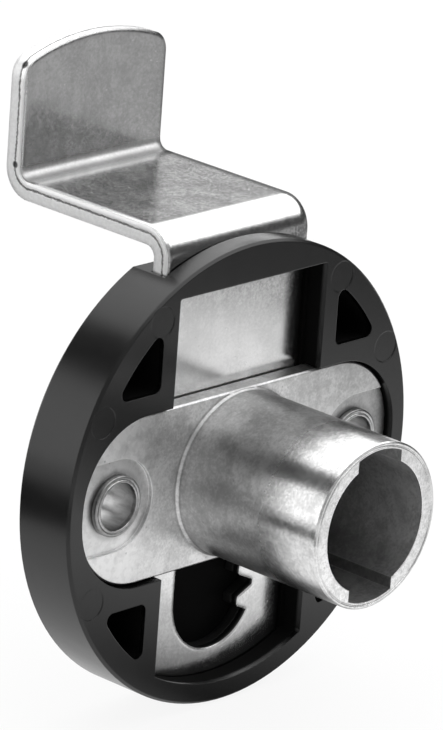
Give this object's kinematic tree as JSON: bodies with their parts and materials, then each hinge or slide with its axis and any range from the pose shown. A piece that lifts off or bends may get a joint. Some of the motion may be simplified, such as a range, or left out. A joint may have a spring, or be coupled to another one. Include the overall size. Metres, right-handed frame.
{
  "type": "cabinet deadbolt lock",
  "caption": "Round black cabinet deadbolt lock with a cast barrel for a removable key core and a cranked steel bolt that a pinion throws.",
  "frame": {"origin": "on the barrel's axis, in the plane of the case's fixing face", "axes": "+Z the way the bolt is thrown (up in the picture), +X to the right seen from the key side, -Y along the barrel towards the key"},
  "size_m": [0.0536, 0.0485, 0.0712],
  "materials": {
    "black_nylon": "moulded, low sheen",
    "plated_casting": "die-cast zinc, nickel plated",
    "plated_steel": "pressed sheet, satin zinc plate",
    "plain_casting": "die-cast zinc, unplated",
    "eyelet_metal": "drawn tube, nickel plated",
    "spring_steel": "spring strip"
  },
  "bodies": {
    "lock_body": {"case": "black_nylon", "cylinder_housing": "plated_casting", "left_eyelet": "eyelet_metal", "right_eyelet": "eyelet_metal", "drag_spring": "spring_steel"},
    "pinion": {"drive_pinion": "plain_casting"},
    "bolt": {"bolt": "plated_steel"}
  },
  "joints": [
    {"name": "pinion_turn", "type": "hinge", "parent": "lock_body", "child": "pinion", "pos_m": [0, 0, 0], "axis": [0, -1, 0], "range_deg": [0, 180]},
    {"name": "bolt_slide", "type": "slide", "parent": "lock_body", "child": "bolt", "axis": [0, 0, 1], "range_m": [0, 0.01508]}
  ],
  "couplings": [
    {"joint": "bolt_slide", "follows": "pinion_turn", "m_per_rad": 0.0048}
  ]
}
